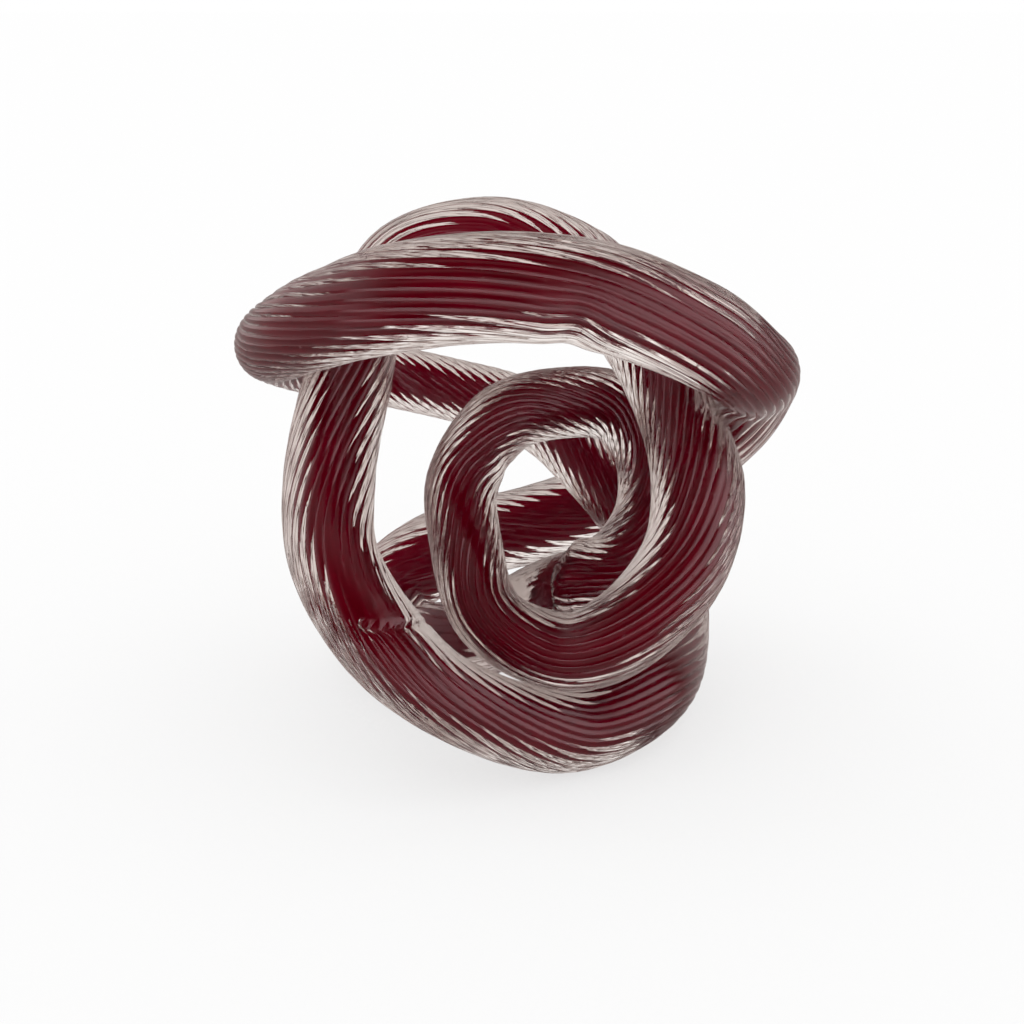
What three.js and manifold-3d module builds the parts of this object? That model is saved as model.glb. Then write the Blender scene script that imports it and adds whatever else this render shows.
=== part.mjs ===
// Glass knot paperweight: one rod of clear, cased glass over a dark red core, wound into an open knot.
// The rod's two ends meet and were fused, so it is a closed loop.
// Millimetres, +Z up. The origin is on the surface that the knot rests on, under the middle of its box.

import * as THREE from "three";
import { mergeVertices } from "three/addons/utils/BufferGeometryUtils.js";
import Module from "manifold-3d";

const wasm = await Module();
wasm.setup();

// Driving dimensions. The whole knot, its rod's thickness too, follows from its width.
const KNOT_WIDTH = 145.5;
const CORE_SHARE = 0.46;
const CORE_CLEARANCE = 0.3;
const SEAM_GAP = 0.3;
const SEAM_CUT_MARGIN = 2;
const REST_LEVEL = 0;

// How finely the round shapes are divided
const ROUTE_STEPS = 200;
const CASING_SIDES = 16;
const CORE_SIDES = 8;

// The rod's route, as drawn: its centre line's points as [x, y, z] and the rod's radius there.
const DRAWN_ROUTE = [
  // From the seam, up the right side of the inner ring
  [11.5, -3.5, 34, 10],
  [27.5, 2, 38, 10],
  [37, 7.5, 51, 10],
  [36, 13.5, 68.5, 10],
  // Over the top of the ring and down its left side
  [27, 15.5, 78, 9.5],
  [13.5, 13, 80, 9.5],
  [-2.5, 6, 77.5, 9.5],
  [-13, -5, 64.5, 9.5],
  [-12.3, -17.5, 52.3, 9.2],
  [-5.8, -33.3, 37.5, 9],
  // Under the ring and up the right strand
  [12.6, -42.4, 32.6, 9.6],
  [26, -44.6, 38.7, 10.4],
  [40.5, -37.5, 53, 11],
  [45, -26, 68.5, 11.5],
  [40.5, -4.5, 84, 10],
  [31, 14, 101.5, 11],
  // Over the back arc
  [17, 30.5, 112.5, 12],
  [-5, 39, 118.5, 12],
  [-28, 33, 114, 12],
  // Down the left leg
  [-39, 21.5, 101, 10.5],
  [-43.5, 4.5, 86, 11.5],
  [-46, -18.5, 68.5, 11.5],
  [-43.5, -36, 54, 11],
  [-32, -47.5, 38.5, 11],
  // Along the lower bar to the right and back
  [-16, -52, 25.5, 10],
  [13, -39.5, 10, 10.5],
  [32, -27.5, 13.5, 11],
  [42.5, 14, 13, 12],
  // Up behind the right strand and across the back to the left
  [42, 26, 28, 11.5],
  [32.5, 27.5, 45, 10],
  [21.5, 32.5, 56.5, 9.5],
  [11.5, 37.5, 65.5, 9.5],
  [-1, 44, 71, 9],
  [-17, 49, 74, 9],
  [-34, 50.5, 77.5, 9],
  // Round the left curl to the front
  [-50.5, 41.5, 83, 9.5],
  [-63.5, 18, 93, 9],
  [-56.5, -10, 103, 10.5],
  // Along the top bar to the right
  [-43.5, -27, 111.5, 11.5],
  [-26, -38, 118.5, 12.5],
  [-3, -41.5, 121.5, 12.5],
  [19.5, -40, 119, 12.5],
  [41.5, -35, 110, 12],
  // Round the right curl to the back
  [56, -21.5, 98.5, 11],
  [61.5, 3, 88.5, 11.5],
  [58.5, 25, 72, 12],
  [44, 48, 49, 11.5],
  // Low across the back to the left, round the hidden turn and back to the seam
  [22.5, 50.5, 38.5, 11.5],
  [5, 49, 33, 11.5],
  [-21.5, 40.5, 28.5, 11.5],
  [-35.5, 33.5, 19.5, 11.5],
  [-36.5, 18, 11.2, 11.5],
  [-22.5, 1, 14.2, 11.4],
  [-3.5, -8, 24, 10.5],
];

// The route is drawn larger or smaller, so that the rod's outermost sides lie KNOT_WIDTH apart.
const drawnWidth = Math.max(...DRAWN_ROUTE.map(([x, , , radius]) => x + radius))
  - Math.min(...DRAWN_ROUTE.map(([x, , , radius]) => x - radius));
const ROUTE = DRAWN_ROUTE.map((point) => point.map((value) => (value * KNOT_WIDTH) / drawnWidth));

const centreLine = new THREE.CatmullRomCurve3(
  ROUTE.map(([x, y, z]) => new THREE.Vector3(x, y, z)),
  true,
  "centripetal",
);
centreLine.arcLengthDivisions = ROUTE_STEPS * 10;

// The rod's radius at a share of the route's length, eased from one point of the route to the next.
function rodRadiusAt(share) {
  const place = centreLine.getUtoTmapping(share) * ROUTE.length;
  const before = Math.floor(place) % ROUTE.length;
  const after = (before + 1) % ROUTE.length;
  const ease = THREE.MathUtils.smoothstep(place - Math.floor(place), 0, 1);
  return THREE.MathUtils.lerp(ROUTE[before][3], ROUTE[after][3], ease);
}

// A closed, round-sectioned loop along the whole route. radiusAt gives its radius at a share of the length.
function loopAlongRoute(radiusAt, sides) {
  const frames = centreLine.computeFrenetFrames(ROUTE_STEPS, true);
  const positions = [];
  const indices = [];
  for (let step = 0; step < ROUTE_STEPS; step++) {
    const share = step / ROUTE_STEPS;
    const centre = centreLine.getPointAt(share);
    const radius = radiusAt(share);
    for (let side = 0; side < sides; side++) {
      const angle = (2 * Math.PI * side) / sides;
      const corner = centre.clone()
        .addScaledVector(frames.normals[step], radius * Math.cos(angle))
        .addScaledVector(frames.binormals[step], radius * Math.sin(angle));
      positions.push(corner.x, corner.y, corner.z);
    }
  }
  for (let step = 0; step < ROUTE_STEPS; step++) {
    const nextStep = (step + 1) % ROUTE_STEPS;
    for (let side = 0; side < sides; side++) {
      const nextSide = (side + 1) % sides;
      const a = step * sides + side;
      const b = step * sides + nextSide;
      const c = nextStep * sides + nextSide;
      const d = nextStep * sides + side;
      indices.push(a, b, c, a, c, d);
    }
  }
  const geometry = new THREE.BufferGeometry();
  geometry.setAttribute("position", new THREE.Float32BufferAttribute(positions, 3));
  geometry.setIndex(indices);
  return geometry;
}

function toSolid(geometry) {
  const bare = geometry.clone();
  bare.deleteAttribute("normal");
  bare.deleteAttribute("uv");
  const merged = mergeVertices(bare);
  return new wasm.Manifold(new wasm.Mesh({
    numProp: 3,
    vertProperties: new Float32Array(merged.attributes.position.array),
    triVerts: new Uint32Array(merged.index.array),
  }));
}

function toGeometry(solid) {
  const mesh = solid.getMesh();
  const geometry = new THREE.BufferGeometry();
  geometry.setAttribute("position", new THREE.BufferAttribute(mesh.vertProperties, 3));
  geometry.setIndex(new THREE.BufferAttribute(mesh.triVerts, 1));
  geometry.computeVertexNormals();
  return geometry;
}

// A thin disc square across the rod where its two ends meet, a little wider than the rod.
function seamDisc() {
  const disc = new THREE.CylinderGeometry(
    ROUTE[0][3] + SEAM_CUT_MARGIN,
    ROUTE[0][3] + SEAM_CUT_MARGIN,
    SEAM_GAP,
    CASING_SIDES,
  );
  const turn = new THREE.Quaternion().setFromUnitVectors(
    new THREE.Vector3(0, 1, 0),
    centreLine.getTangentAt(0),
  );
  disc.applyQuaternion(turn);
  disc.translate(...ROUTE[0].slice(0, 3));
  return disc;
}

// Everything under the surface that the knot rests on, where the hot glass was pressed flat.
function restingBlock() {
  const span = new THREE.Box3().setFromPoints(centreLine.points).getSize(new THREE.Vector3());
  const block = new THREE.BoxGeometry(2 * span.x, 2 * span.y, span.z);
  block.translate(0, 0, REST_LEVEL - span.z / 2);
  return block;
}

// The clear outer glass: a thick tube round the core, open only at the seam, with three flats underneath.
function ribbedCasing() {
  const rod = toSolid(loopAlongRoute(rodRadiusAt, CASING_SIDES));
  const bore = toSolid(loopAlongRoute(
    (share) => CORE_SHARE * rodRadiusAt(share) + CORE_CLEARANCE,
    CORE_SIDES,
  ));
  return toGeometry(rod
    .subtract(bore)
    .subtract(toSolid(seamDisc()))
    .subtract(toSolid(restingBlock())));
}

// The dark red rod inside, drawn out with the casing, so that it keeps the same share of its width.
function burgundyCore() {
  const core = toSolid(loopAlongRoute((share) => CORE_SHARE * rodRadiusAt(share), CORE_SIDES));
  return toGeometry(core.subtract(toSolid(seamDisc())));
}

function piece(name, geometry, material) {
  const mesh = new THREE.Mesh(geometry, material);
  mesh.name = name;
  return mesh;
}

const clearGlass = new THREE.MeshStandardMaterial({
  color: 0xb9aaa5,
  roughness: 0.05,
  metalness: 0,
  transparent: true,
  opacity: 0.35,
});
const redGlass = new THREE.MeshStandardMaterial({
  color: 0x500012,
  roughness: 0.1,
  metalness: 0,
});

const knot = new THREE.Group();
knot.add(piece("ribbed_casing", ribbedCasing(), clearGlass));
knot.add(piece("burgundy_core", burgundyCore(), redGlass));

export default knot;
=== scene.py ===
"""Dresses the glass knot paperweight: a clear, ribbed glass rod over a dark red core, wound into a knot.

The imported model's two nodes are the frame. Each is replaced by a finer piece that lies where it does: the
casing with its twisted ribs, its fused ends and its pressed places, and the core inside it. All places are in
metres, except where a comment says millimetres.
"""
import logging
import math
from dataclasses import dataclass, field
from enum import Enum

import bpy
import numpy as np
from mathutils import Euler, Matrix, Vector


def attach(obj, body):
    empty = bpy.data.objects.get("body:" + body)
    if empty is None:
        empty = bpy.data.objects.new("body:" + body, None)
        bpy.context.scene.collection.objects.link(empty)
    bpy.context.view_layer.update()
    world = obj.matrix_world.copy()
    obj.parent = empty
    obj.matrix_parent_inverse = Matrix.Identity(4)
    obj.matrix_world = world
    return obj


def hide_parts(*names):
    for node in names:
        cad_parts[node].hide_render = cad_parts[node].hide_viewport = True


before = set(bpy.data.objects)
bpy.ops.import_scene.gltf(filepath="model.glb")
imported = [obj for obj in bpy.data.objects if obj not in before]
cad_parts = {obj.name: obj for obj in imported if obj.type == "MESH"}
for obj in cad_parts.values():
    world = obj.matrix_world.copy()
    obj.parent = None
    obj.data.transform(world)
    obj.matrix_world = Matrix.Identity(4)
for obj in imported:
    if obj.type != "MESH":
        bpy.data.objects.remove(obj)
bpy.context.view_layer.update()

MM = 0.001
WELD = 1e-7
UV_NAME = "rod"
MELT_NAME = "melted"

log = logging.getLogger("glass_knot")


class Part(Enum):
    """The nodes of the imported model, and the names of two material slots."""

    CASING = "ribbed_casing"
    CORE = "burgundy_core"
    CLEAR_SLOT = "clear_glass"
    RED_SLOT = "red_glass"


# The rod's route: its centre line's points in millimetres, the rod's radius there, and how many degrees its
# ribs lean from the rod's own line there.
ROUTE = [
    # From the seam, up the right side of the inner ring
    (11.5, -3.5, 34, 10, 16),
    (27.5, 2, 38, 10, 18),
    (37, 7.5, 51, 10, 20),
    (36, 13.5, 68.5, 10, 22),
    # Over the top of the ring and down its left side
    (27, 15.5, 78, 9.5, 26),
    (13.5, 13, 80, 9.5, 26),
    (-2.5, 6, 77.5, 9.5, 24),
    (-13, -5, 64.5, 9.5, 22),
    (-12.3, -17.5, 52.3, 9.2, 20),
    (-5.8, -33.3, 37.5, 9, 16),
    # Under the ring and up the right strand
    (12.6, -42.4, 32.6, 9.6, 12),
    (26, -44.6, 38.7, 10.4, 12),
    (40.5, -37.5, 53, 11, 14),
    (45, -26, 68.5, 11.5, 18),
    (40.5, -4.5, 84, 10, 22),
    (31, 14, 101.5, 11, 22),
    # Over the back arc
    (17, 30.5, 112.5, 12, 15),
    (-5, 39, 118.5, 12, 12),
    (-28, 33, 114, 12, 12),
    # Down the left leg
    (-39, 21.5, 101, 10.5, 12),
    (-43.5, 4.5, 86, 11.5, 15),
    (-46, -18.5, 68.5, 11.5, 18),
    (-43.5, -36, 54, 11, 18),
    (-32, -47.5, 38.5, 11, 14),
    # Along the lower bar to the right and back
    (-16, -52, 25.5, 10, 12),
    (13, -39.5, 10, 10.5, 12),
    (32, -27.5, 13.5, 11, 12),
    (42.5, 14, 13, 12, 12),
    # Up behind the right strand and across the back to the left
    (42, 26, 28, 11.5, 18),
    (32.5, 27.5, 45, 10, 22),
    (21.5, 32.5, 56.5, 9.5, 24),
    (11.5, 37.5, 65.5, 9.5, 24),
    (-1, 44, 71, 9, 24),
    (-17, 49, 74, 9, 24),
    (-34, 50.5, 77.5, 9, 22),
    # Round the left curl to the front
    (-50.5, 41.5, 83, 9.5, 20),
    (-63.5, 18, 93, 9, 18),
    (-56.5, -10, 103, 10.5, 18),
    # Along the top bar to the right
    (-43.5, -27, 111.5, 11.5, 16),
    (-26, -38, 118.5, 12.5, 12),
    (-3, -41.5, 121.5, 12.5, 9),
    (19.5, -40, 119, 12.5, 9),
    (41.5, -35, 110, 12, 9),
    # Round the right curl to the back
    (56, -21.5, 98.5, 11, 9),
    (61.5, 3, 88.5, 11.5, 10),
    (58.5, 25, 72, 12, 12),
    (44, 48, 49, 11.5, 16),
    # Low across the back to the left, round the hidden turn and back to the seam
    (22.5, 50.5, 38.5, 11.5, 20),
    (5, 49, 33, 11.5, 22),
    (-21.5, 40.5, 28.5, 11.5, 22),
    (-35.5, 33.5, 19.5, 11.5, 20),
    (-36.5, 18, 11.2, 11.5, 20),
    (-22.5, 1, 14.2, 11.4, 18),
    (-3.5, -8, 24, 10.5, 16),
]

# Places on the route that details are at, as a point's number with a part between two points
SEAM = 0.0
KINK = 6.55
RING_TOUCH = 8.95
RING_LOW_LEFT = 9.6
LOW_TOUCH = 9.7
RING_BOTTOM = 10.0
MELT = 13.62
CURL_TOUCH = 20.14
LEG_FOOT = 22.5
CREASE = 22.87
LOWER_BAR = 24.6
RIGHT_BEND = 26.9
DENT = 40.72
LOW_BACK = 47.6
BUNCHED_ABOVE = 49.55
BUNCHED_BELOW = 52.25

# The seam runs askew across the rod: by SEAM_SLANT further along on the side that faces SEAM_LEAN.
SEAM_SLANT = 0.008
SEAM_LEAN = (0.0, 0.64, 0.77)

# What the added waves of a wavering line are divided by, so that it stays about between -1 and 1
WAVE_LOWERED = 1.5

# Where the casing's rings lie closer together: the place, the reach, and how many times closer
FINE_PLACES = [
    (SEAM, 0.007, 5.0),
    (CREASE, 0.008, 3.0),
    (DENT, 0.008, 1.0),
    (MELT, 0.005, 3.0),
    (KINK, 0.004, 1.5),
]


def smooth_step(value: np.ndarray) -> np.ndarray:
    """Eases 0 to 1.

    Args:
        value: Numbers, of which those outside 0 to 1 are held at its ends.

    Returns:
        The eased numbers.
    """
    held = np.clip(value, 0.0, 1.0)
    return held * held * (3.0 - 2.0 * held)


def eased(value: np.ndarray, start: float, end: float) -> np.ndarray:
    """Eases 0 to 1 between two values.

    Args:
        value: Numbers.
        start: Where the result is still 0.
        end: Where it reaches 1.

    Returns:
        The eased numbers.
    """
    return smooth_step((value - start) / (end - start))


def near(distance: np.ndarray, reach: float) -> np.ndarray:
    """Fades away with distance, softly.

    Args:
        distance: Distances, negative ones too.
        reach: How far it reaches.

    Returns:
        1 at no distance, and 0 well beyond the reach.
    """
    return np.exp(-(distance / reach) ** 2)


def wave(seed: int, count: int, length: int, share: np.ndarray) -> np.ndarray:
    """A smooth wavering line that meets itself at the end of the route.

    Args:
        seed: Picks the line, the same at each run.
        count: How many waves of different length it adds up.
        length: The slowest wave's number of swings along the route.
        share: Places along the route, from 0 to 1.

    Returns:
        Its height at each place, about from -1 to 1.
    """
    chance = np.random.default_rng(seed)
    total = np.zeros_like(share)
    for order in range(count):
        swings = length + chance.integers(0, length) + order * length
        total += np.sin(2 * math.pi * (swings * share + chance.random())) / (1 + order)
    return total / WAVE_LOWERED


class RodLine:
    """The rod's centre line, cut into rings, with a frame that turns with the ribs."""

    def __init__(self, rings: int) -> None:
        """Works out the rings.

        Args:
            rings: How many rings the closed line is cut into. They lie closer together at the details.
        """
        self.rings = rings
        points, radii, leans = self._sampled()
        along = np.concatenate([[0.0], np.cumsum(np.linalg.norm(np.diff(points, axis=0), axis=1))])
        self.length = float(along[-1])
        self.measured = along
        self.along = self._spread()
        self.steps = np.diff(np.append(self.along, self.length))
        self.share = self.along / self.length
        axes = [np.interp(self.along, along, points[:, axis]) for axis in range(3)]
        self.centres = np.stack(axes, axis=1)
        self.radii = np.interp(self.along, along, radii)
        self.leans = np.radians(np.interp(self.along, along, leans))
        ahead = np.roll(self.centres, -1, axis=0) - np.roll(self.centres, 1, axis=0)
        self.tangents = ahead / np.linalg.norm(ahead, axis=1)[:, None]
        self._frame()

    def _spread(self, samples: int = 6000) -> np.ndarray:
        """Spreads the rings along the line, closer together at the details.

        Args:
            samples: How finely the line is gone over.

        Returns:
            Each ring's distance from the seam.
        """
        self.along = np.linspace(0.0, self.length, samples)
        crowding = np.ones(samples)
        for place, reach, extra in FINE_PLACES:
            crowding += extra * near(self.from_place(place), reach)
        filled = np.concatenate([[0.0], np.cumsum(crowding[1:] + crowding[:-1])])
        return np.interp(np.arange(self.rings) / self.rings, filled / filled[-1], self.along)

    def _sampled(self, per_span: int = 60) -> tuple[np.ndarray, np.ndarray, np.ndarray]:
        """Samples the closed centripetal Catmull-Rom curve through the route.

        Args:
            per_span: Samples between two points of the route.

        Returns:
            Points, radii and rib leans, the first sample repeated at the end.
        """
        table = np.array(ROUTE, float)
        places = table[:, :3] * MM
        count = len(places)
        points, radii, leans = [], [], []
        for index in range(count):
            before, start, end, after = (places[(index + step) % count] for step in (-1, 0, 1, 2))
            pairs = ((before, start), (start, end), (end, after))
            first, middle, last = (np.linalg.norm(b - a) ** 0.5 for a, b in pairs)
            leave = (start - before) / first - (end - before) / (first + middle) + (end - start) / middle
            arrive = (end - start) / middle - (after - start) / (middle + last) + (after - end) / last
            leave, arrive = leave * middle, arrive * middle
            square = -3 * start + 3 * end - 2 * leave - arrive
            cube = 2 * start - 2 * end + leave + arrive
            for step in np.arange(per_span) / per_span:
                points.append(start + leave * step + square * step**2 + cube * step**3)
                ease = float(smooth_step(np.array(step)))
                here, there = table[index], table[(index + 1) % count]
                radii.append((here[3] + (there[3] - here[3]) * ease) * MM)
                leans.append(here[4] + (there[4] - here[4]) * ease)
        for values in (points, radii, leans):
            values.append(values[0])
        return np.array(points), np.array(radii), np.array(leans)

    def _frame(self) -> None:
        """Carries a sideways direction round the line without turning it, then turns it with the ribs."""
        side = np.cross(self.tangents[0], (0.0, 0.0, 1.0))
        side /= np.linalg.norm(side)
        sides = [side]
        for index in range(self.rings):
            here, ahead = index, (index + 1) % self.rings
            step = self.centres[ahead] - self.centres[here]
            across = sides[-1] - 2 * step * (step @ sides[-1]) / (step @ step)
            along = self.tangents[here] - 2 * step * (step @ self.tangents[here]) / (step @ step)
            turn = self.tangents[ahead] - along
            across = across - 2 * turn * (turn @ across) / max(turn @ turn, 1e-30)
            sides.append(across / np.linalg.norm(across))
        last = sides.pop()
        up = np.cross(self.tangents[0], sides[0])
        closing = math.atan2(last @ up, last @ sides[0])
        wound = np.concatenate([[0.0], np.cumsum(np.tan(self.leans) / self.radii * self.steps)])
        turns = round((wound[-1] + closing) / (2 * math.pi))
        spare = turns * 2 * math.pi - closing - wound[-1]
        self.twist = wound[:-1] + spare * self.share
        self.sides = np.array(sides)
        self.ups = np.cross(self.tangents, self.sides)

    def at_point(self, place: float) -> float:
        """How far along the line a place on the route lies.

        Args:
            place: A point's number in the route, with a part between two points.

        Returns:
            The distance from the seam, in metres.
        """
        return float(np.interp(place, np.linspace(0.0, len(ROUTE), len(self.measured)), self.measured))

    def from_place(self, place: float) -> np.ndarray:
        """Each ring's distance along the line from a place on the route, negative before it.

        Args:
            place: A point's number in the route, with a part between two points.

        Returns:
            One distance for each ring, in metres.
        """
        half = self.length / 2
        return (self.along - self.at_point(place) + half) % self.length - half

    def skin(self, angles: np.ndarray, heights: np.ndarray) -> np.ndarray:
        """Points round the line.

        Args:
            angles: Each point's angle round the line, one row for each ring.
            heights: Each point's distance from the line, in metres.

        Returns:
            The points, as rings by points by 3.
        """
        across = np.cos(angles)[..., None] * self.sides[:, None, :]
        up = np.sin(angles)[..., None] * self.ups[:, None, :]
        return self.centres[:, None, :] + heights[..., None] * (across + up)

    def facing(self, angles: np.ndarray, direction: tuple[float, float, float]) -> np.ndarray:
        """How far each point's outward direction faces a given one.

        Args:
            angles: Each point's angle round the line, one row for each ring.
            direction: The direction, of any length.

        Returns:
            The cosine of the angle between them.
        """
        aim = np.array(direction, float)
        aim /= np.linalg.norm(aim)
        across = np.cos(angles) * (self.sides @ aim)[:, None]
        return across + np.sin(angles) * (self.ups @ aim)[:, None]


class Sum:
    """A shader socket or number. Adding, multiplying and so on makes the Math nodes for it."""

    def __init__(self, tree: bpy.types.NodeTree, socket: object) -> None:
        """Wraps a socket.

        Args:
            tree: The node tree that it is in.
            socket: The socket, or a number.
        """
        self.tree = tree
        self.socket = socket

    def _with(self, kind: str, first: object, second: object = None) -> "Sum":
        """Makes a Math node.

        Args:
            kind: The node's operation.
            first: Its first input.
            second: Its second input, if it has one.

        Returns:
            The node's result.
        """
        node = self.tree.nodes.new("ShaderNodeMath")
        node.operation = kind
        for slot, value in enumerate((first, second)):
            if value is None:
                continue
            value = value.socket if isinstance(value, Sum) else value
            if isinstance(value, (int, float)):
                node.inputs[slot].default_value = value
            else:
                self.tree.links.new(value, node.inputs[slot])
        return Sum(self.tree, node.outputs[0])

    def __add__(self, other: object) -> "Sum":
        """Returns this plus other."""
        return self._with("ADD", self, other)

    __radd__ = __add__

    def __mul__(self, other: object) -> "Sum":
        """Returns this times other."""
        return self._with("MULTIPLY", self, other)

    __rmul__ = __mul__

    def __sub__(self, other: object) -> "Sum":
        """Returns this less other."""
        return self._with("SUBTRACT", self, other)

    def __rsub__(self, other: object) -> "Sum":
        """Returns other less this."""
        return self._with("SUBTRACT", other, self)

    def power(self, other: object) -> "Sum":
        """Returns this to the power of other."""
        return self._with("POWER", self, other)

    def at_most(self, other: object) -> "Sum":
        """Returns the lesser of this and other."""
        return self._with("MINIMUM", self, other)

    def at_least(self, other: object) -> "Sum":
        """Returns the greater of this and other."""
        return self._with("MAXIMUM", self, other)


class Nodes:
    """A node tree being built."""

    def __init__(self, tree: bpy.types.NodeTree) -> None:
        """Starts from an empty tree.

        Args:
            tree: The tree, whose nodes are removed.
        """
        self.tree = tree
        tree.nodes.clear()

    def add(self, kind: str, settings: dict | None = None, **inputs: object) -> bpy.types.Node:
        """Adds a node.

        Args:
            kind: The node's type, without the leading ShaderNode.
            settings: The node's own settings.
            **inputs: What its inputs are set or linked to. Their names have _ for a space.

        Returns:
            The node.
        """
        node = self.tree.nodes.new("ShaderNode" + kind)
        for name, value in (settings or {}).items():
            setattr(node, name, value)
        for name, value in inputs.items():
            self.put(node.inputs[name.replace("_", " ")], value)
        return node

    def put(self, target: bpy.types.NodeSocket, value: object) -> None:
        """Sets or links one input.

        Args:
            target: The input.
            value: A number, colour, socket or sum.
        """
        value = value.socket if isinstance(value, Sum) else value
        if isinstance(value, bpy.types.NodeSocket):
            self.tree.links.new(value, target)
        else:
            target.default_value = value

    def sum(self, socket: bpy.types.NodeSocket) -> Sum:
        """Wraps a socket for shader maths.

        Args:
            socket: The socket.

        Returns:
            The wrapped socket.
        """
        return Sum(self.tree, socket)

    def dot(self, place: bpy.types.NodeSocket, direction: tuple) -> bpy.types.NodeSocket:
        """How far a direction points along another.

        Args:
            place: The first direction.
            direction: The second direction.

        Returns:
            Their dot product.
        """
        node = self.add("VectorMath", {"operation": "DOT_PRODUCT"})
        self.put(node.inputs[0], place)
        self.put(node.inputs[1], direction)
        return node.outputs["Value"]

    def eased(self, value: object, start: float, end: float) -> Sum:
        """Eases 0 to 1.

        Args:
            value: What is eased.
            start: Where it is still 0.
            end: Where it reaches 1.

        Returns:
            The eased value.
        """
        soft = {"interpolation_type": "SMOOTHSTEP"}
        node = self.add("MapRange", soft, Value=value, From_Min=start, From_Max=end)
        return self.sum(node.outputs["Result"])

    def blend(self, factor: object, first: object, second: object) -> bpy.types.NodeSocket:
        """Mixes two colours.

        Args:
            factor: 0 for the first colour and 1 for the second.
            first: The first colour.
            second: The second colour.

        Returns:
            The mixed colour.
        """
        node = self.add("Mix", {"data_type": "RGBA"})
        self.put(node.inputs["Factor"], factor)
        colours = [socket for socket in node.inputs if socket.type == "RGBA"]
        self.put(colours[0], first)
        self.put(colours[1], second)
        return next(socket for socket in node.outputs if socket.type == "RGBA")

    def noise(self, place: object, scale: float, detail: float = 2.0) -> Sum:
        """A soft random pattern.

        Args:
            place: The coordinates that it is read at.
            scale: How fine it is.
            detail: How many finer layers it has.

        Returns:
            Its height, about from 0 to 1.
        """
        return self.sum(self.add("TexNoise", Vector=place, Scale=scale, Detail=detail).outputs["Fac"])

    def stretched(self, along: float, around: float) -> bpy.types.NodeSocket:
        """Coordinates that run with the ribs.

        Args:
            along: How many pattern units the whole rod's length takes.
            around: How many its girth takes.

        Returns:
            The stretched coordinates.
        """
        uv = self.add("UVMap", {"uv_map": UV_NAME})
        mapping = self.add("Mapping", {"vector_type": "POINT"}, Vector=uv.outputs["UV"])
        mapping.inputs["Scale"].default_value = (along, around, 1.0)
        return mapping.outputs["Vector"]


@dataclass(frozen=True)
class ClearGlass:
    """The casing's clear, faintly warm glass, with fine draw lines along its ribs and a few seeds."""

    tint: tuple[float, float, float, float] = (0.92, 0.85, 0.81, 1.0)
    shine: tuple[float, float, float, float] = (1.0, 0.85, 0.92, 1.0)
    refraction: float = 1.5
    smoothest: float = 0.01
    roughest: float = 0.05
    smear_scale: tuple[float, float] = (24.0, 5.0)
    smear_contrast: float = 3.0
    smear_level: float = 2.0
    line_scale: tuple[float, float] = (11.0, 90.0)
    line_height: float = 0.00015
    ripple_scale: tuple[float, float] = (140.0, 12.0)
    ripple_height: float = 0.00005
    seed_scale: float = 260.0
    seed_sharpness: float = 9.0
    seed_choice_scale: float = 190.0
    seed_choice: float = 0.54
    seed_choice_sharpness: float = 12.0
    seed_height: float = 0.0002
    torn_scale: float = 900.0
    torn_height: float = 0.0006

    def seeds(self, nodes: Nodes, place: bpy.types.NodeSocket) -> Sum:
        """The few small bubbles near the surface.

        Args:
            nodes: The material's nodes.
            place: The coordinates that they are read at.

        Returns:
            1 in a bubble's middle and 0 outside it.
        """
        cells = nodes.add("TexVoronoi", Vector=place, Scale=self.seed_scale)
        spot = (1.0 - nodes.sum(cells.outputs["Distance"]) * self.seed_sharpness).at_least(0.0)
        chosen = nodes.noise(place, self.seed_choice_scale, 0.0)
        picked = (chosen - self.seed_choice) * self.seed_choice_sharpness
        return spot * picked.at_least(0.0).at_most(1.0)

    def material(self) -> bpy.types.Material:
        """Builds the material.

        Returns:
            The material.
        """
        made = bpy.data.materials.new("clear_ribbed_glass")
        made.use_nodes = True
        nodes = Nodes(made.node_tree)
        lines = nodes.noise(nodes.stretched(*self.line_scale), 1.0, 3.0)
        ripple = nodes.noise(nodes.stretched(*self.ripple_scale), 1.0, 2.0)
        smear = nodes.noise(nodes.stretched(*self.smear_scale), 1.0, 4.0)
        place = nodes.add("TexCoord").outputs["Object"]
        seeds = self.seeds(nodes, place)
        melted = nodes.sum(nodes.add("Attribute", {"attribute_name": MELT_NAME}).outputs["Fac"])
        torn = nodes.noise(place, self.torn_scale, 4.0) * melted
        relief = lines * self.line_height + ripple * self.ripple_height + seeds * self.seed_height
        relief = relief + torn * self.torn_height
        bump = nodes.add("Bump", Distance=1.0, Strength=1.0, Height=relief)
        rougher = (self.roughest - self.smoothest) * self.smear_level
        shader = nodes.add(
            "BsdfPrincipled",
            Base_Color=self.tint,
            IOR=self.refraction,
            Specular_Tint=self.shine,
            Transmission_Weight=1.0,
            Roughness=smear.power(self.smear_contrast) * rougher + self.smoothest,
            Normal=bump.outputs["Normal"],
        )
        nodes.add("OutputMaterial", Surface=shader.outputs["BSDF"])
        return made


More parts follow.
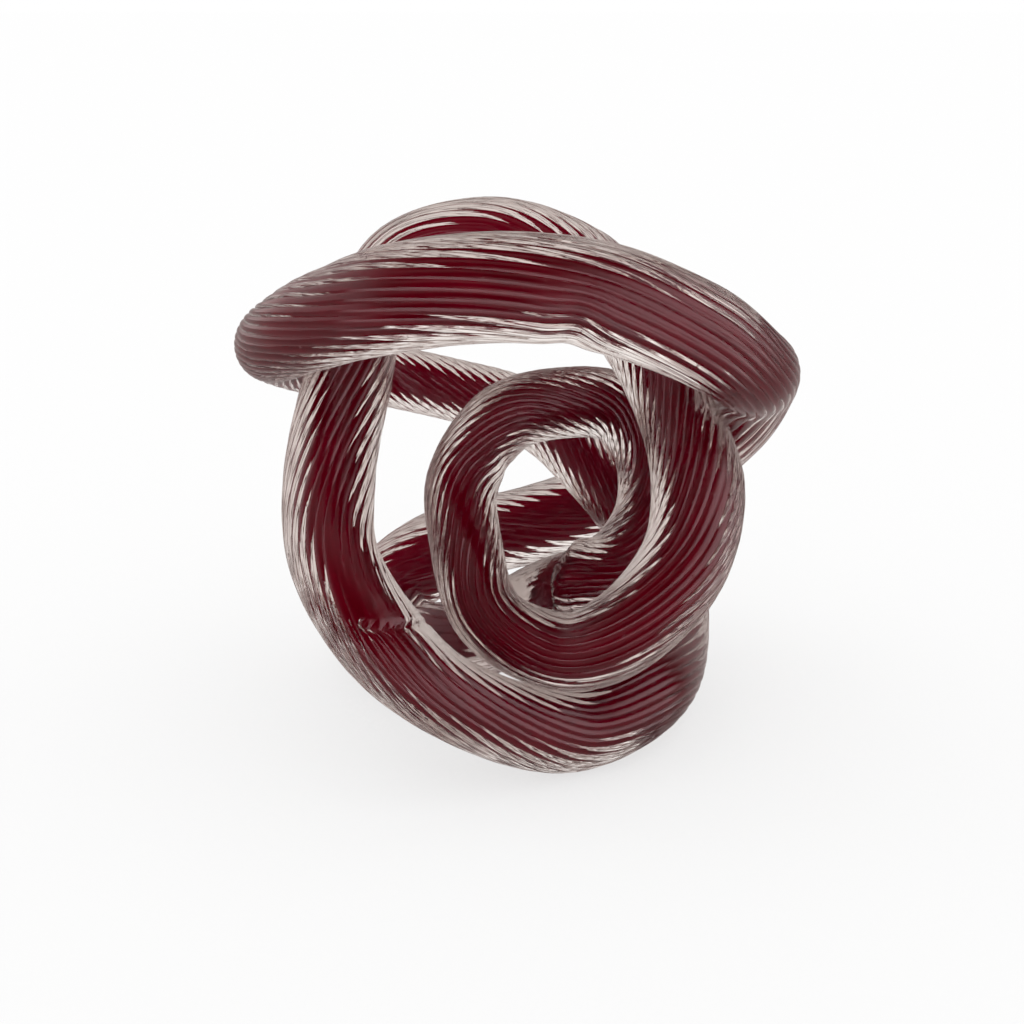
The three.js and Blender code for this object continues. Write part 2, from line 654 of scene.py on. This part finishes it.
@dataclass(frozen=True)
class BurgundyGlass:
    """The core's dense red glass. It lies in glass of its own kind, so it has no shine of its own."""

    # The core's darker and lighter red. Random streaks, threads and clouds lie between them, and painted
    # light pushes the back of the core toward the lighter one.
    dark: tuple[float, float, float, float] = (0.125, 0.0006, 0.006, 1.0)
    light: tuple[float, float, float, float] = (0.255, 0.0014, 0.018, 1.0)
    roughness: float = 0.4
    streak_scale: tuple[float, float] = (26.0, 14.0)
    thread_scale: tuple[float, float] = (14.0, 46.0)
    cloud_scale: float = 60.0
    streak_share: float = 0.3
    thread_share: float = 0.45
    cloud_share: float = 0.25
    middle: float = 0.38
    contrast: float = 3.2
    # Painted light: past these places in metres toward the back, the core is painted lighter, by the share
    # below.
    rear: tuple[float, float] = (0.02, 0.04)
    rear_painted_lighter: float = 1.6
    relief_scale: tuple[float, float] = (40.0, 30.0)
    relief_height: float = 0.0001

    def material(self) -> bpy.types.Material:
        """Builds the material.

        Returns:
            The material.
        """
        made = bpy.data.materials.new("burgundy_glass")
        made.use_nodes = True
        nodes = Nodes(made.node_tree)
        streaks = nodes.noise(nodes.stretched(*self.streak_scale), 1.0, 3.0)
        place = nodes.add("TexCoord").outputs["Object"]
        clouds = nodes.noise(place, self.cloud_scale, 2.0)
        threads = nodes.noise(nodes.stretched(*self.thread_scale), 1.0, 3.0)
        pattern = streaks * self.streak_share + clouds * self.cloud_share + threads * self.thread_share
        # Painted light: the core is painted lighter toward the back of the knot.
        rear = nodes.eased(nodes.dot(place, (0.0, 1.0, 0.0)), *self.rear) * self.rear_painted_lighter
        colour = nodes.blend((pattern - self.middle) * self.contrast + rear, self.dark, self.light)
        relief = nodes.noise(nodes.stretched(*self.relief_scale), 1.0, 3.0) * self.relief_height
        bump = nodes.add("Bump", Distance=1.0, Strength=1.0, Height=relief)
        shader = nodes.add(
            "BsdfPrincipled",
            Base_Color=colour,
            Roughness=self.roughness,
            Specular_IOR_Level=0.0,
            Normal=bump.outputs["Normal"],
        )
        nodes.add("OutputMaterial", Surface=shader.outputs["BSDF"])
        return made


def bordered(values: np.ndarray, joined: bool) -> np.ndarray:
    """Repeats the first point of each ring at its end, and the first ring after the last one where they join.

    Args:
        values: Numbers or places, ring by ring.
        joined: Whether the last ring joins the first one.

    Returns:
        The same with its borders, as one flat row of numbers.
    """
    if joined:
        values = np.concatenate([values, values[:1]], axis=0)
    return np.concatenate([values, values[:, :1]], axis=1).astype(np.float32).ravel()


def rolled_sheet(
    name: str, points: np.ndarray, sharp_from: float, melted: np.ndarray, joined: bool = True
) -> bpy.types.Object:
    """Rolls a flat grid up into a rod, and welds it where its borders come together.

    Args:
        name: The piece's name.
        points: The places of its points, ring by ring, as rings by points by 3.
        sharp_from: The angle in degrees from which an edge stays sharp.
        melted: How much each point was melted, kept as an attribute for the material.
        joined: Whether the rod's two ends meet. Otherwise each gets a flat cap.

    Returns:
        The new object, with a UV map that runs along and round it.
    """
    rings, sides, _ = points.shape
    bpy.ops.object.select_all(action="DESELECT")
    lengths = rings if joined else rings - 1
    bpy.ops.mesh.primitive_grid_add(x_subdivisions=sides, y_subdivisions=lengths, calc_uvs=True)
    made = bpy.context.object
    made.name = name
    made.data.name = name
    made.data.uv_layers[0].name = UV_NAME
    made.data.vertices.foreach_set("co", bordered(points, joined))
    marks = made.data.attributes.new(MELT_NAME, "FLOAT", "POINT")
    marks.data.foreach_set("value", bordered(melted, joined))
    bpy.ops.object.mode_set(mode="EDIT")
    bpy.ops.mesh.select_all(action="SELECT")
    bpy.ops.mesh.remove_doubles(threshold=WELD)
    if not joined:
        bpy.ops.mesh.fill_holes(sides=sides)
    bpy.ops.mesh.select_all(action="SELECT")
    bpy.ops.mesh.normals_make_consistent(inside=False)
    bpy.ops.object.mode_set(mode="OBJECT")
    bpy.ops.object.shade_smooth_by_angle(angle=math.radians(sharp_from))
    return made


@dataclass
class RibbedSkin:
    """The casing's surface while it is being shaped, with one number for each point of each ring."""

    line: RodLine
    angles: np.ndarray
    depth: np.ndarray
    scale: np.ndarray
    lift: np.ndarray
    melted: np.ndarray

    def ragged(self, seed: int) -> np.ndarray:
        """Random small lumps.

        Args:
            seed: Picks them, the same at each run.

        Returns:
            Their heights, about from -1 to 1.
        """
        lumps = np.random.default_rng(seed).normal(0.0, 1.0, self.angles.shape)
        for axis in (0, 1):
            lumps = (np.roll(lumps, 1, axis) + 2 * lumps + np.roll(lumps, -1, axis)) / 4
        return lumps * 2


@dataclass(frozen=True)
class FusedEnds:
    """The seam. One end is drawn down, smooth and narrow. The other ends in a ribbed lip rolled over it."""

    worn_from: float = 0.022
    worn_over: float = 0.012
    worn_share: float = 0.93
    drawn_from: float = 0.016
    drawn_over: float = 0.013
    drawn_down: float = 0.2
    lip_height: float = 0.05
    lip_rolled_over: float = 0.0012
    lip_settled_over: float = 0.005
    lip_length: float = 0.010
    curl_reach: float = 0.0022
    curl_turn: float = 0.30
    curl_side: tuple[float, float, float] = (0.0, -0.6, 0.8)
    curl_edge: tuple[float, float] = (-0.2, 0.6)
    curl_deeper: float = 0.7
    smear_before: float = 0.006
    smear_reach: float = 0.007
    smear_height: float = 0.00012
    smear_seed: int = 21
    smear_melted: float = 0.6
    seam_reach: float = 0.0025
    seam_melted: float = 0.35

    def apply(self, skin: RibbedSkin) -> None:
        """Shapes the seam. The gap is each point's distance past it along the rod.

        Args:
            skin: The surface being shaped.
        """
        gap = skin.line.from_place(SEAM)[:, None] - SEAM_SLANT * skin.line.facing(skin.angles, SEAM_LEAN)
        before = gap < 0
        after = gap >= 0
        worn = smooth_step((gap + self.worn_from) / self.worn_over) * before
        skin.depth *= 1 - self.worn_share * worn
        drawn = smooth_step((gap + self.drawn_from) / self.drawn_over) * before
        skin.scale *= 1 - self.drawn_down * drawn
        roll = np.clip(gap / self.lip_rolled_over, 0.0, 1.0)
        rise = (self.drawn_down + self.lip_height) * np.sqrt(1 - (1 - roll) ** 2)
        settled = self.lip_height * smooth_step((gap - self.lip_rolled_over) / self.lip_settled_over)
        lip = after & (gap < self.lip_length)
        skin.scale *= np.where(lip, 1 - self.drawn_down + rise - settled, 1.0)
        curl = np.exp(-np.maximum(gap, 0.0) / self.curl_reach) * after
        curled = eased(skin.line.facing(skin.angles, self.curl_side), *self.curl_edge)
        skin.angles -= self.curl_turn * curl * curled
        skin.depth *= 1 + self.curl_deeper * curl
        smeared = near(gap + self.smear_before, self.smear_reach) * before
        skin.lift += self.smear_height * smeared * skin.ragged(self.smear_seed)
        skin.melted += self.smear_melted * smeared + self.seam_melted * near(gap, self.seam_reach)


@dataclass(frozen=True)
class Crease:
    """The fold inside the front bend, above which the ribs fade out and below which they start anew."""

    inner_edge: tuple[float, float] = (-0.14, -0.04)
    rear_edge: tuple[float, float] = (0.25, 0.65)
    slant: float = 0.0112
    fade: float = 0.011
    fade_wide: float = 1.15
    fade_narrower: float = 0.6
    fade_from: float = 1.5
    fade_over: float = 0.8
    faded: float = 0.96
    rim_edge: tuple[float, float] = (0.3, 0.65)
    rim_kept: float = 0.75
    head_reach: float = 0.004
    head_deeper: float = 0.9
    head_turn: float = 0.2
    fold_after: float = 0.0002
    fold_reach: float = 0.0007
    fold_depth: float = 0.0005
    crumple_edge: tuple[float, float] = (0.45, 0.75)
    crumple_before: float = 0.001
    crumple_reach: float = 0.0035
    crumple_height: float = 0.00022
    crumple_seed: int = 22
    crumple_melted: float = 0.8
    hatch_edge: tuple[float, float] = (0.3, 0.6)
    hatch_before: float = 0.007
    hatch_reach: float = 0.016
    hatch_height: float = 0.00012

    def apply(self, skin: RibbedSkin) -> None:
        """Shapes the fold. The gap is each point's distance past it along the rod.

        Args:
            skin: The surface being shaped.
        """
        inward = skin.line.facing(skin.angles, (1.0, 0.0, 0.0))
        rear = skin.line.facing(skin.angles, (0.0, 1.0, 0.0))
        inner = eased(inward, *self.inner_edge) * (1 - eased(rear, *self.rear_edge))
        gap = skin.line.from_place(CREASE)[:, None] - self.slant * inward
        reach = self.fade * (self.fade_wide - self.fade_narrower * np.clip(inward, 0.0, 1.0))
        above = (gap < 0) * smooth_step((gap + reach * self.fade_from) / (reach * self.fade_over))
        skin.depth *= 1 - self.faded * inner * above * (1 - self.rim_kept * eased(inward, *self.rim_edge))
        head = np.exp(-np.maximum(gap, 0.0) / self.head_reach) * (gap >= 0)
        skin.depth *= 1 + self.head_deeper * inner * head
        skin.angles += self.head_turn * inner * head
        skin.lift -= self.fold_depth * inner * near(gap - self.fold_after, self.fold_reach)
        crumpled = near(gap + self.crumple_before, self.crumple_reach)
        crumpled = inner * eased(inward, *self.crumple_edge) * crumpled
        skin.lift += self.crumple_height * crumpled * skin.ragged(self.crumple_seed)
        skin.melted += self.crumple_melted * crumpled
        ridges = np.where(np.arange(skin.angles.shape[1]) % 2, -1.0, 1.0)
        hatched = eased(inward, *self.hatch_edge) * near(gap + self.hatch_before, self.hatch_reach)
        skin.lift += self.hatch_height * hatched * ridges


@dataclass(frozen=True)
class Mark:
    """A soft-edged place on the rod's side, marked by a tool or by another strand while it was hot."""

    place: float
    direction: tuple[float, float, float]
    reach: float
    spread: float
    lift: float = 0.0
    turn: float = 0.0
    melted: float = 0.0
    lumps: float = 0.0
    seed: int = 0

    def apply(self, skin: RibbedSkin) -> None:
        """Marks the surface: 1 in the mark's middle, 0 outside its reach and its spread in degrees.

        Args:
            skin: The surface being shaped.
        """
        edge = math.cos(math.radians(self.spread))
        marked = near(skin.line.from_place(self.place), self.reach)[:, None]
        marked = marked * eased(skin.line.facing(skin.angles, self.direction), edge, 1.0)
        skin.lift += self.lift * marked
        if self.lumps:
            skin.lift += self.lumps * marked * skin.ragged(self.seed)
        skin.angles += self.turn * marked
        skin.melted += self.melted * marked


@dataclass(frozen=True)
class EvenedRibs:
    """The low back strand, whose ribs are shallower."""

    reach: float = 0.035
    share: float = 0.45

    def apply(self, skin: RibbedSkin) -> None:
        """Evens the ribs out.

        Args:
            skin: The surface being shaped.
        """
        skin.depth *= 1 - self.share * near(skin.line.from_place(LOW_BACK), self.reach)[:, None]


# The marks on the rod's side, in the order in which they are made
MARKS = (
    # A tool's dent in the top bar and the ribs bunched beside it, and the kink in the ring
    Mark(DENT, (0.0, -0.55, -0.8), 0.0045, 75.0, lift=-0.0009),
    Mark(DENT + 0.05, (0.0, -0.7, -0.7), 0.0055, 80.0, turn=-0.10),
    Mark(KINK, (0.82, -0.55, -0.16), 0.003, 60.0, lift=-0.0007, melted=0.3),
    # The glass bunched on the inner side of the tight hidden bend
    Mark(BUNCHED_ABOVE, (0.0, -0.5, -0.85), 0.010, 70.0, lift=0.0015),
    Mark(BUNCHED_BELOW, (0.0, -0.3, 0.95), 0.010, 70.0, lift=0.0015),
    # Where strands touched each other
    Mark(MELT, (0.6, -0.25, 0.75), 0.0042, 48.0, lift=0.0003, turn=0.08, melted=1.2, lumps=0.0004, seed=23),
    Mark(CURL_TOUCH, (-0.74, -0.04, 0.67), 0.0025, 40.0, melted=0.5, lumps=0.0001, seed=24),
    Mark(LOW_TOUCH, (-0.33, -0.29, -0.9), 0.0025, 40.0, melted=0.5, lumps=0.0001, seed=24),
    Mark(RING_TOUCH, (0.17, -0.5, 0.85), 0.0025, 40.0, melted=0.5, lumps=0.0001, seed=24),
)


@dataclass
class Casing:
    """The clear glass, with its ribs and the places where the hot rod was joined, creased and pressed."""

    ribs: int = 28
    points_per_rib: int = 6
    rings: int = 590
    flank: float = 30.0
    groove: float = 0.35
    sharp_from: float = 45.0
    uneven: float = 0.12
    uneven_seed: int = 7
    wavering: tuple[int, int, int] = (3, 4, 5)
    rest_level: float = 0.00002
    details: tuple = (FusedEnds(), Crease(), EvenedRibs(), *MARKS)
    finish: ClearGlass = field(default_factory=ClearGlass)

    def rib_shape(self) -> tuple[np.ndarray, float]:
        """The round shape of a rib, whose sides slope by the flank angle where they meet in the grooves.

        Returns:
            Heights across one rib, 1 on its crest and below 0 in the groove, and its depth as a share of the
            radius.
        """
        bow = 0.5 / math.sin(math.radians(self.flank))
        foot = math.sqrt(bow**2 - 0.25)
        phase = np.arange(self.points_per_rib) / self.points_per_rib
        height = (np.sqrt(bow**2 - (phase - 0.5) ** 2) - foot) / (bow - foot)
        height[0] -= self.groove
        return height, (bow - foot) * 2 * math.pi / self.ribs

    def shaped(self) -> RibbedSkin:
        """Works out the whole surface.

        Returns:
            The surface, with every detail on it.
        """
        line = RodLine(self.rings)
        column = np.arange(self.ribs * self.points_per_rib)
        turned = np.zeros((self.rings, len(column)))
        angles = line.twist[:, None] + 2 * math.pi * column[None, :] / len(column)
        height, depth = self.rib_shape()
        chance = np.random.default_rng(self.uneven_seed)
        own = chance.normal(0.0, self.uneven, self.ribs)[column // self.points_per_rib]
        varied = 1 + own[None, :] + self.uneven * wave(*self.wavering, line.share)[:, None]
        skin = RibbedSkin(line, angles, depth * varied, turned + 1, turned.copy(), turned.copy())
        for detail in self.details:
            detail.apply(skin)
        skin.scale *= 1 - skin.depth * (1 - height[column % self.points_per_rib][None, :])
        return skin

    def build(self) -> bpy.types.Object:
        """Builds and dresses the casing.

        Returns:
            The piece.
        """
        skin = self.shaped()
        points = skin.line.skin(skin.angles, skin.line.radii[:, None] * skin.scale + skin.lift)
        points[..., 2] = np.maximum(points[..., 2], self.rest_level)
        piece = rolled_sheet("clear_ribbed_casing", points, self.sharp_from, skin.melted)
        piece.data.materials.append(self.finish.material())
        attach(piece, "root")
        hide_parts(Part.CASING.value)
        return piece


# Where the core is thicker: the place, the reach, and by what share
CORE_SWELLINGS = [
    (RING_BOTTOM, 0.034, 0.17),
    (BUNCHED_ABOVE, 0.012, 0.35),
    (BUNCHED_BELOW, 0.010, 0.35),
]

# Where the core lies off the casing's middle: the place, the reach, and how far, in millimetres
CORE_DRIFTS = [
    (RING_LOW_LEFT, 0.022, (-0.2, -0.2, -0.5)),
    (LEG_FOOT, 0.017, (2.0, 0.0, 0.6)),
    (LOWER_BAR, 0.022, (0.0, 0.0, 0.8)),
    (RIGHT_BEND, 0.024, (-1.8, 0.0, 0.5)),
    (BUNCHED_ABOVE, 0.014, (0.0, -1.0, -2.2)),
    (BUNCHED_BELOW, 0.010, (0.0, -0.4, 1.6)),
]


@dataclass
class Core:
    """The dark red rod inside the casing, whose two ends stop short of each other at the seam."""

    rings: int = 480
    sides: int = 32
    share: float = 0.46
    uneven: float = 0.015
    wavering: tuple[int, int, int] = (11, 5, 9)
    sharp_from: float = 60.0
    end_gap: float = 0.0003
    neck: float = 0.66
    neck_from: float = 0.0045
    neck_over: float = 0.0055
    neck_ends: float = 0.024
    neck_ends_over: float = 0.012
    ragged: float = 0.0011
    ragged_seed: int = 31
    skewed: float = 0.02
    finish: BurgundyGlass = field(default_factory=BurgundyGlass)

    def shares(self, line: RodLine, gap: np.ndarray) -> np.ndarray:
        """The core's share of the rod's width, which narrows to a ragged neck before the seam.

        Args:
            line: The rod's line.
            gap: Each point's distance past the seam.

        Returns:
            One share for each point of each ring.
        """
        along = 1 + self.uneven * wave(*self.wavering, line.share)
        for place, reach, extra in CORE_SWELLINGS:
            along = along * (1 + extra * near(line.from_place(place), reach))
        ragged = np.random.default_rng(self.ragged_seed).normal(0.0, 1.0, gap.shape)
        ragged = (ragged + np.roll(ragged, 1, 0) + np.roll(ragged, 1, 1)) * self.ragged
        drawn = smooth_step((-gap - self.neck_from + ragged) / self.neck_over) * (gap < 0)
        drawn = drawn * (1 - smooth_step((-gap - self.neck_ends) / self.neck_ends_over))
        return self.share * along[:, None] * (1 - self.neck * drawn)

    def build(self) -> bpy.types.Object:
        """Builds and dresses the core.

        Returns:
            The piece.
        """
        line = RodLine(self.rings)
        angles = line.twist[:, None] + 2 * math.pi * np.arange(self.sides)[None, :] / self.sides
        gap = line.from_place(SEAM)[:, None] * np.ones((1, self.sides))
        points = line.skin(angles, line.radii[:, None] * self.shares(line, gap))
        for place, reach, drift in CORE_DRIFTS:
            points += near(line.from_place(place), reach)[:, None, None] * np.array(drift) * MM
        askew = SEAM_SLANT * line.facing(angles, SEAM_LEAN) * (1 - np.abs(gap) / self.skewed).clip(0.0)
        points += askew[..., None] * line.tangents[:, None, :]
        half = line.tangents[0] * self.end_gap / 2
        points = np.concatenate([points[:1] + half, points[1:], points[:1] - half])
        unmelted = np.zeros(points.shape[:2])
        piece = rolled_sheet("burgundy_core_rod", points, self.sharp_from, unmelted, joined=False)
        piece.data.materials.append(self.finish.material())
        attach(piece, "root")
        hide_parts(Part.CORE.value)
        return piece


@dataclass
class Studio:
    """A plain pale floor, soft light and the camera at the photograph's angle.

    The floor and the world show the camera plain white. What the glass mirrors or lets through is a stand-in
    for the room round it: panels of light, a painted pool of light on the floor and dimmer sides. The floor
    that the glass lets through is a taupe painted shade, with a painted shadow that darkens it near the knot.
    """

    lens: float = 56.43
    sensor: float = 36.0
    distance: float = 0.420
    pitch: float = 19.0
    aim: tuple[float, float, float] = (-0.0005, -0.002, 0.0545)
    nearest: float = 0.01
    farthest: float = 50.0
    floor_size: float = 12.0
    floor_colour: tuple[float, float, float, float] = (0.93, 0.93, 0.93, 1.0)
    floor_roughness: float = 0.9
    floor_level: float = 1.05
    white: tuple[float, float, float, float] = (1.0, 1.0, 1.0, 1.0)
    # Painted shade: the darker, taupe floor that the glass lets through.
    floor_through_painted_shade: tuple[float, float, float, float] = (0.62, 0.53, 0.5, 1.0)
    # Painted shadow: within this reach of the knot, the floor that the glass lets through is darker by this
    # much.
    near_through: tuple[float, float] = (0.04, 0.16)
    painted_shadow_depth: float = 0.15
    # The colour of the floor where the glass mirrors it, painted pool of light included.
    mirrored_colour: tuple[float, float, float, float] = (1.0, 0.87, 0.84, 1.0)
    shadow_softened: float = 0.68
    shadow_unseen: float = 0.5
    # The painted pool of light that the glass mirrors on the floor: where it starts and fades, how bright it
    # is, which side it lies on, and the floor's level outside it.
    pool_near: tuple[float, float] = (0.05, 0.32)
    pool_far: tuple[float, float] = (0.3, 1.5)
    pool_fades: float = 0.5
    pool_level: float = 2.3
    pool_side: tuple[float, float, float] = (0.3, -0.95, 0.0)
    pool_reach: tuple[float, float] = (-0.05, 0.15)
    floor_dim: float = 0.42
    low_light: tuple[float, float] = (0.0, 0.5)
    low_side: tuple[float, float, float] = (0.7, -0.7, 0.0)
    low_reach: tuple[float, float] = (0.3, 0.8)
    low_level: float = 0.9
    right_side: tuple[float, float, float] = (0.9, -0.4, 0.15)
    right_reach: tuple[float, float] = (0.5, 0.95)
    right_level: float = 2.3
    left_side: tuple[float, float, float] = (-0.9, 0.28, 0.02)
    left_reach: tuple[float, float] = (0.3, 0.85)
    left_level: float = 1.1
    screen_edge: tuple[float, float] = (0.3, 0.75)
    screen_level: float = 1.05
    side_level: float = 0.6
    side_colour: tuple[float, float, float, float] = (1.0, 0.86, 0.835, 1.0)
    room_side: tuple[float, float, float] = (0.0, -0.946, 0.326)
    box_side: tuple[float, float, float] = (-0.4, 0.3, 0.87)
    box_reach: tuple[float, float] = (-0.1, 0.5)
    box_start: tuple[float, float] = (0.52, 0.93)
    box_end: tuple[float, float] = (0.1, 0.52)
    box_level: float = 0.4
    behind_start: tuple[float, float] = (-0.75, -0.3)
    behind_level: float = 0.42

    def camera(self) -> None:
        """Makes the camera."""
        data = bpy.data.cameras.new("camera")
        data.lens = self.lens
        data.sensor_width = self.sensor
        data.clip_start = self.nearest
        data.clip_end = self.farthest
        made = bpy.data.objects.new("camera", data)
        bpy.context.scene.collection.objects.link(made)
        tip = math.radians(self.pitch)
        back = Vector((0.0, -math.cos(tip), math.sin(tip)))
        made.location = Vector(self.aim) + back * self.distance
        made.rotation_euler = Euler((math.pi / 2 - tip, 0.0, 0.0))
        bpy.context.scene.camera = made

    def floor_paint(self) -> bpy.types.Material:
        """Builds the floor's material: matt and pale, with a part that glows and takes no shadow. That part
        is plain white for the camera, a painted pool of light where the glass mirrors the floor, and a taupe
        painted shade, darker near the knot, where the glass lets the floor through.

        Returns:
            The material.
        """
        paint = bpy.data.materials.new("floor")
        paint.use_nodes = True
        nodes = Nodes(paint.node_tree)
        path = nodes.add("LightPath")
        through = nodes.sum(path.outputs["Is Transmission Ray"])
        seen = nodes.sum(path.outputs["Is Camera Ray"])
        mirrored = nodes.sum(path.outputs["Is Glossy Ray"]) * (1.0 - through)
        place = nodes.add("TexCoord").outputs["Object"]
        away = nodes.add("VectorMath", {"operation": "LENGTH"})
        nodes.put(away.inputs[0], place)
        distance = away.outputs["Value"]
        # Painted pool of light on the floor, seen only where the glass mirrors it, with a dimmer floor
        # outside it.
        ahead = nodes.eased(nodes.dot(place, self.pool_side), *self.pool_reach)
        faded = 1.0 - nodes.eased(distance, *self.pool_far) * self.pool_fades
        pool = nodes.eased(distance, *self.pool_near) * faded * ahead * self.pool_level
        # Painted shadow: the floor that the glass lets through darkens near the knot.
        painted_shadow = through * (1.0 - nodes.eased(distance, *self.near_through)) * self.painted_shadow_depth
        strength = (1.0 - mirrored) + mirrored * pool.at_least(self.floor_dim) - painted_shadow
        # Painted shade: the glass lets through a taupe floor in place of a white one.
        colour = nodes.blend(through, self.white, self.floor_through_painted_shade)
        colour = nodes.blend(mirrored, colour, self.mirrored_colour)
        plain = nodes.add("Emission", Color=colour, Strength=strength)
        lit = nodes.add(
            "BsdfPrincipled",
            Base_Color=self.floor_colour,
            Roughness=self.floor_roughness,
            Specular_IOR_Level=0.0,
        )
        shader = nodes.add("MixShader")
        evenly = seen * self.shadow_softened + through * self.shadow_unseen + mirrored
        nodes.put(shader.inputs[0], evenly)
        nodes.put(shader.inputs[1], lit.outputs["BSDF"])
        nodes.put(shader.inputs[2], plain.outputs["Emission"])
        nodes.add("OutputMaterial", Surface=shader.outputs["Shader"])
        return paint

    def floor(self) -> None:
        """Makes the pale floor."""
        bpy.ops.object.select_all(action="DESELECT")
        bpy.ops.mesh.primitive_plane_add(size=self.floor_size)
        made = bpy.context.object
        made.name = "floor"
        made.data.materials.append(self.floor_paint())

    def mirrored_room(self, nodes: Nodes, place: bpy.types.NodeSocket) -> Sum:
        """How bright the room looks where the glass mirrors it.

        Args:
            nodes: The world's nodes.
            place: The direction looked in.

        Returns:
            The level, of which 1 is white.
        """
        front = nodes.dot(place, self.room_side)
        band = nodes.eased(front, *self.box_end) * (1.0 - nodes.eased(front, *self.box_start))
        boxes = band * nodes.eased(nodes.dot(place, self.box_side), *self.box_reach)
        behind = 1.0 - nodes.eased(front, *self.behind_start)
        low = 1.0 - nodes.eased(nodes.dot(place, (0.0, 0.0, 1.0)), *self.low_light)
        low = low * nodes.eased(nodes.dot(place, self.low_side), *self.low_reach)
        right = nodes.eased(nodes.dot(place, self.right_side), *self.right_reach)
        left = nodes.eased(nodes.dot(place, self.left_side), *self.left_reach)
        level = (boxes * self.box_level + low * self.low_level).at_least(behind * self.behind_level)
        return level.at_least(right * self.right_level).at_least(left * self.left_level)

    def world(self) -> None:
        """Makes the soft light all round."""
        made = bpy.data.worlds.new("studio")
        bpy.context.scene.world = made
        made.use_nodes = True
        nodes = Nodes(made.node_tree)
        path = nodes.add("LightPath")
        place = nodes.add("TexCoord").outputs["Generated"]
        across = nodes.sum(nodes.dot(place, (0.0, 1.0, 0.0)))
        screen = nodes.eased((across * across).power(0.5), *self.screen_edge)
        through = self.side_level + screen * (self.screen_level - self.side_level)
        camera = nodes.sum(path.outputs["Is Camera Ray"])
        clear = nodes.sum(path.outputs["Is Transmission Ray"])
        glossy = nodes.sum(path.outputs["Is Glossy Ray"]) * (1.0 - clear)
        plain = (1.0 - camera) * (1.0 - glossy) * (1.0 - clear)
        level = camera + clear * through + plain * self.floor_level
        level = level + glossy * self.mirrored_room(nodes, place)
        colour = nodes.blend(camera + plain + clear * screen, self.side_colour, self.white)
        light = nodes.add("Background", Color=colour, Strength=level)
        nodes.add("OutputWorld", Surface=light.outputs["Background"])

    def build(self) -> None:
        """Makes the floor, the light and the camera."""
        self.floor()
        self.world()
        self.camera()
        scene = bpy.context.scene
        scene.view_settings.view_transform = "Standard"
        scene.cycles.max_bounces = 20
        scene.cycles.transmission_bounces = 16
        scene.cycles.glossy_bounces = 4
        scene.cycles.use_denoising = True
        scene.cycles.denoising_input_passes = "RGB"


def main() -> None:
    """Builds the stage and the pieces."""
    logging.basicConfig(level=logging.INFO, format="%(name)s: %(message)s")
    Studio().build()
    for maker in (Casing(), Core()):
        piece = maker.build()
        points = len(piece.data.vertices)
        log.info("%s has %d points and %d faces", piece.name, points, len(piece.data.polygons))


if __name__ == "__main__":
    main()
